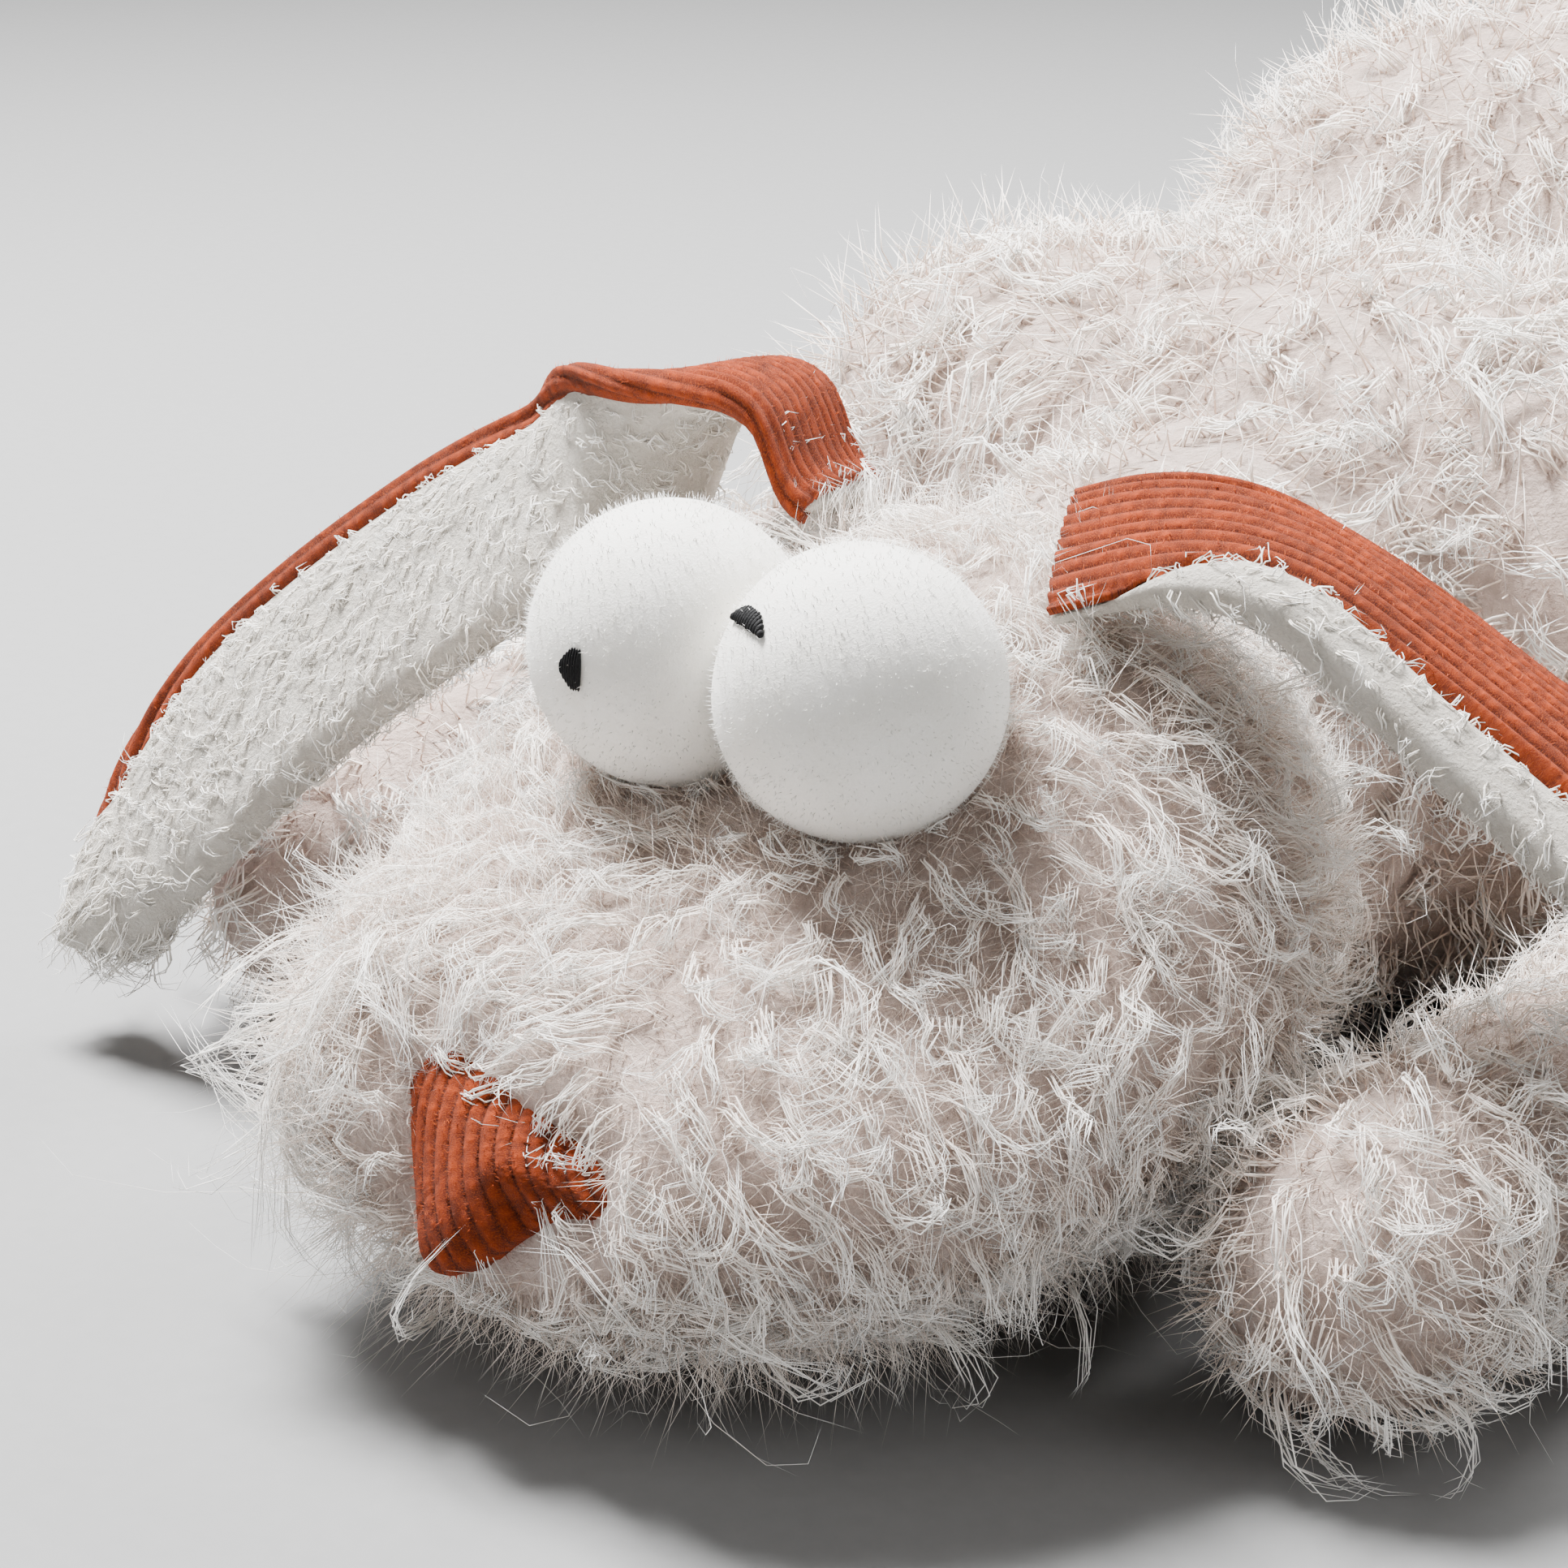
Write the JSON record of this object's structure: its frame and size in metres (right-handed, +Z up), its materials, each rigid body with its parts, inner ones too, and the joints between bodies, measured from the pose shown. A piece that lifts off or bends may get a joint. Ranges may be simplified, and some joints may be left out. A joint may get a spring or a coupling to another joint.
{
  "type": "plush bunny",
  "caption": "Plush bunny lying on its belly: curly fur body, ball eyes, corduroy nose, drooping corduroy-backed ears; head, ears, arms and legs turn at their seams.",
  "frame": {"origin": "on the ground under the middle of the whole toy", "axes": "+Z up, nose towards -Y, the bunny's own left towards +X"},
  "size_m": [0.3178, 0.4048, 0.141],
  "materials": {
    "long_fur": "long curly pile, cream white",
    "stuffing": "loose polyester filling",
    "velour": "short even velour, white",
    "corduroy": "ribbed corduroy, burnt orange",
    "lining_plush": "short looped plush, cream",
    "black_thread": "satin-stitched thread, black"
  },
  "bodies": {
    "body": {"body_cover": "long_fur", "body_stuffing": "stuffing", "tail_cover": "long_fur", "tail_stuffing": "stuffing"},
    "head": {"head_cover": "long_fur", "head_stuffing": "stuffing", "left_eye_cover": "velour", "left_eye_stuffing": "stuffing", "left_pupil": "black_thread", "right_eye_cover": "velour", "right_eye_stuffing": "stuffing", "right_pupil": "black_thread", "nose_patch": "corduroy"},
    "left_ear": {"left_ear_back": "corduroy", "left_ear_lining": "lining_plush"},
    "right_ear": {"right_ear_back": "corduroy", "right_ear_lining": "lining_plush"},
    "left_arm": {"left_arm_cover": "long_fur", "left_arm_stuffing": "stuffing"},
    "right_arm": {"right_arm_cover": "long_fur", "right_arm_stuffing": "stuffing"},
    "left_leg": {"left_leg_cover": "long_fur", "left_leg_stuffing": "stuffing"},
    "right_leg": {"right_leg_cover": "long_fur", "right_leg_stuffing": "stuffing"}
  },
  "joints": [
    {"name": "head_nod", "type": "hinge", "parent": "body", "child": "head", "pos_m": [0, -0.04646, 0.05], "axis": [-1, 0, 0], "range_deg": [0, 12]},
    {"name": "left_ear_lift", "type": "hinge", "parent": "head", "child": "left_ear", "pos_m": [0.021, -0.10846, 0.09438], "axis": [0.4375, -0.8274, -0.352], "range_deg": [0, 60]},
    {"name": "right_ear_lift", "type": "hinge", "parent": "head", "child": "right_ear", "pos_m": [-0.02, -0.10246, 0.09399], "axis": [-0.2736, 0.9567, -0.0988], "range_deg": [0, 60]},
    {"name": "left_arm_swing", "type": "hinge", "parent": "body", "child": "left_arm", "pos_m": [0.085, -0.03446, 0.029], "axis": [0, 0, 1], "range_deg": [0, 8]},
    {"name": "right_arm_swing", "type": "hinge", "parent": "body", "child": "right_arm", "pos_m": [-0.086, -0.03246, 0.046], "axis": [0, 0, -1], "range_deg": [0, 30]},
    {"name": "left_leg_swing", "type": "hinge", "parent": "body", "child": "left_leg", "pos_m": [0.076, 0.11954, 0.036], "axis": [0, 0, -1], "range_deg": [0, 30]},
    {"name": "right_leg_swing", "type": "hinge", "parent": "body", "child": "right_leg", "pos_m": [-0.076, 0.11954, 0.036], "axis": [0, 0, 1], "range_deg": [0, 30]}
  ]
}
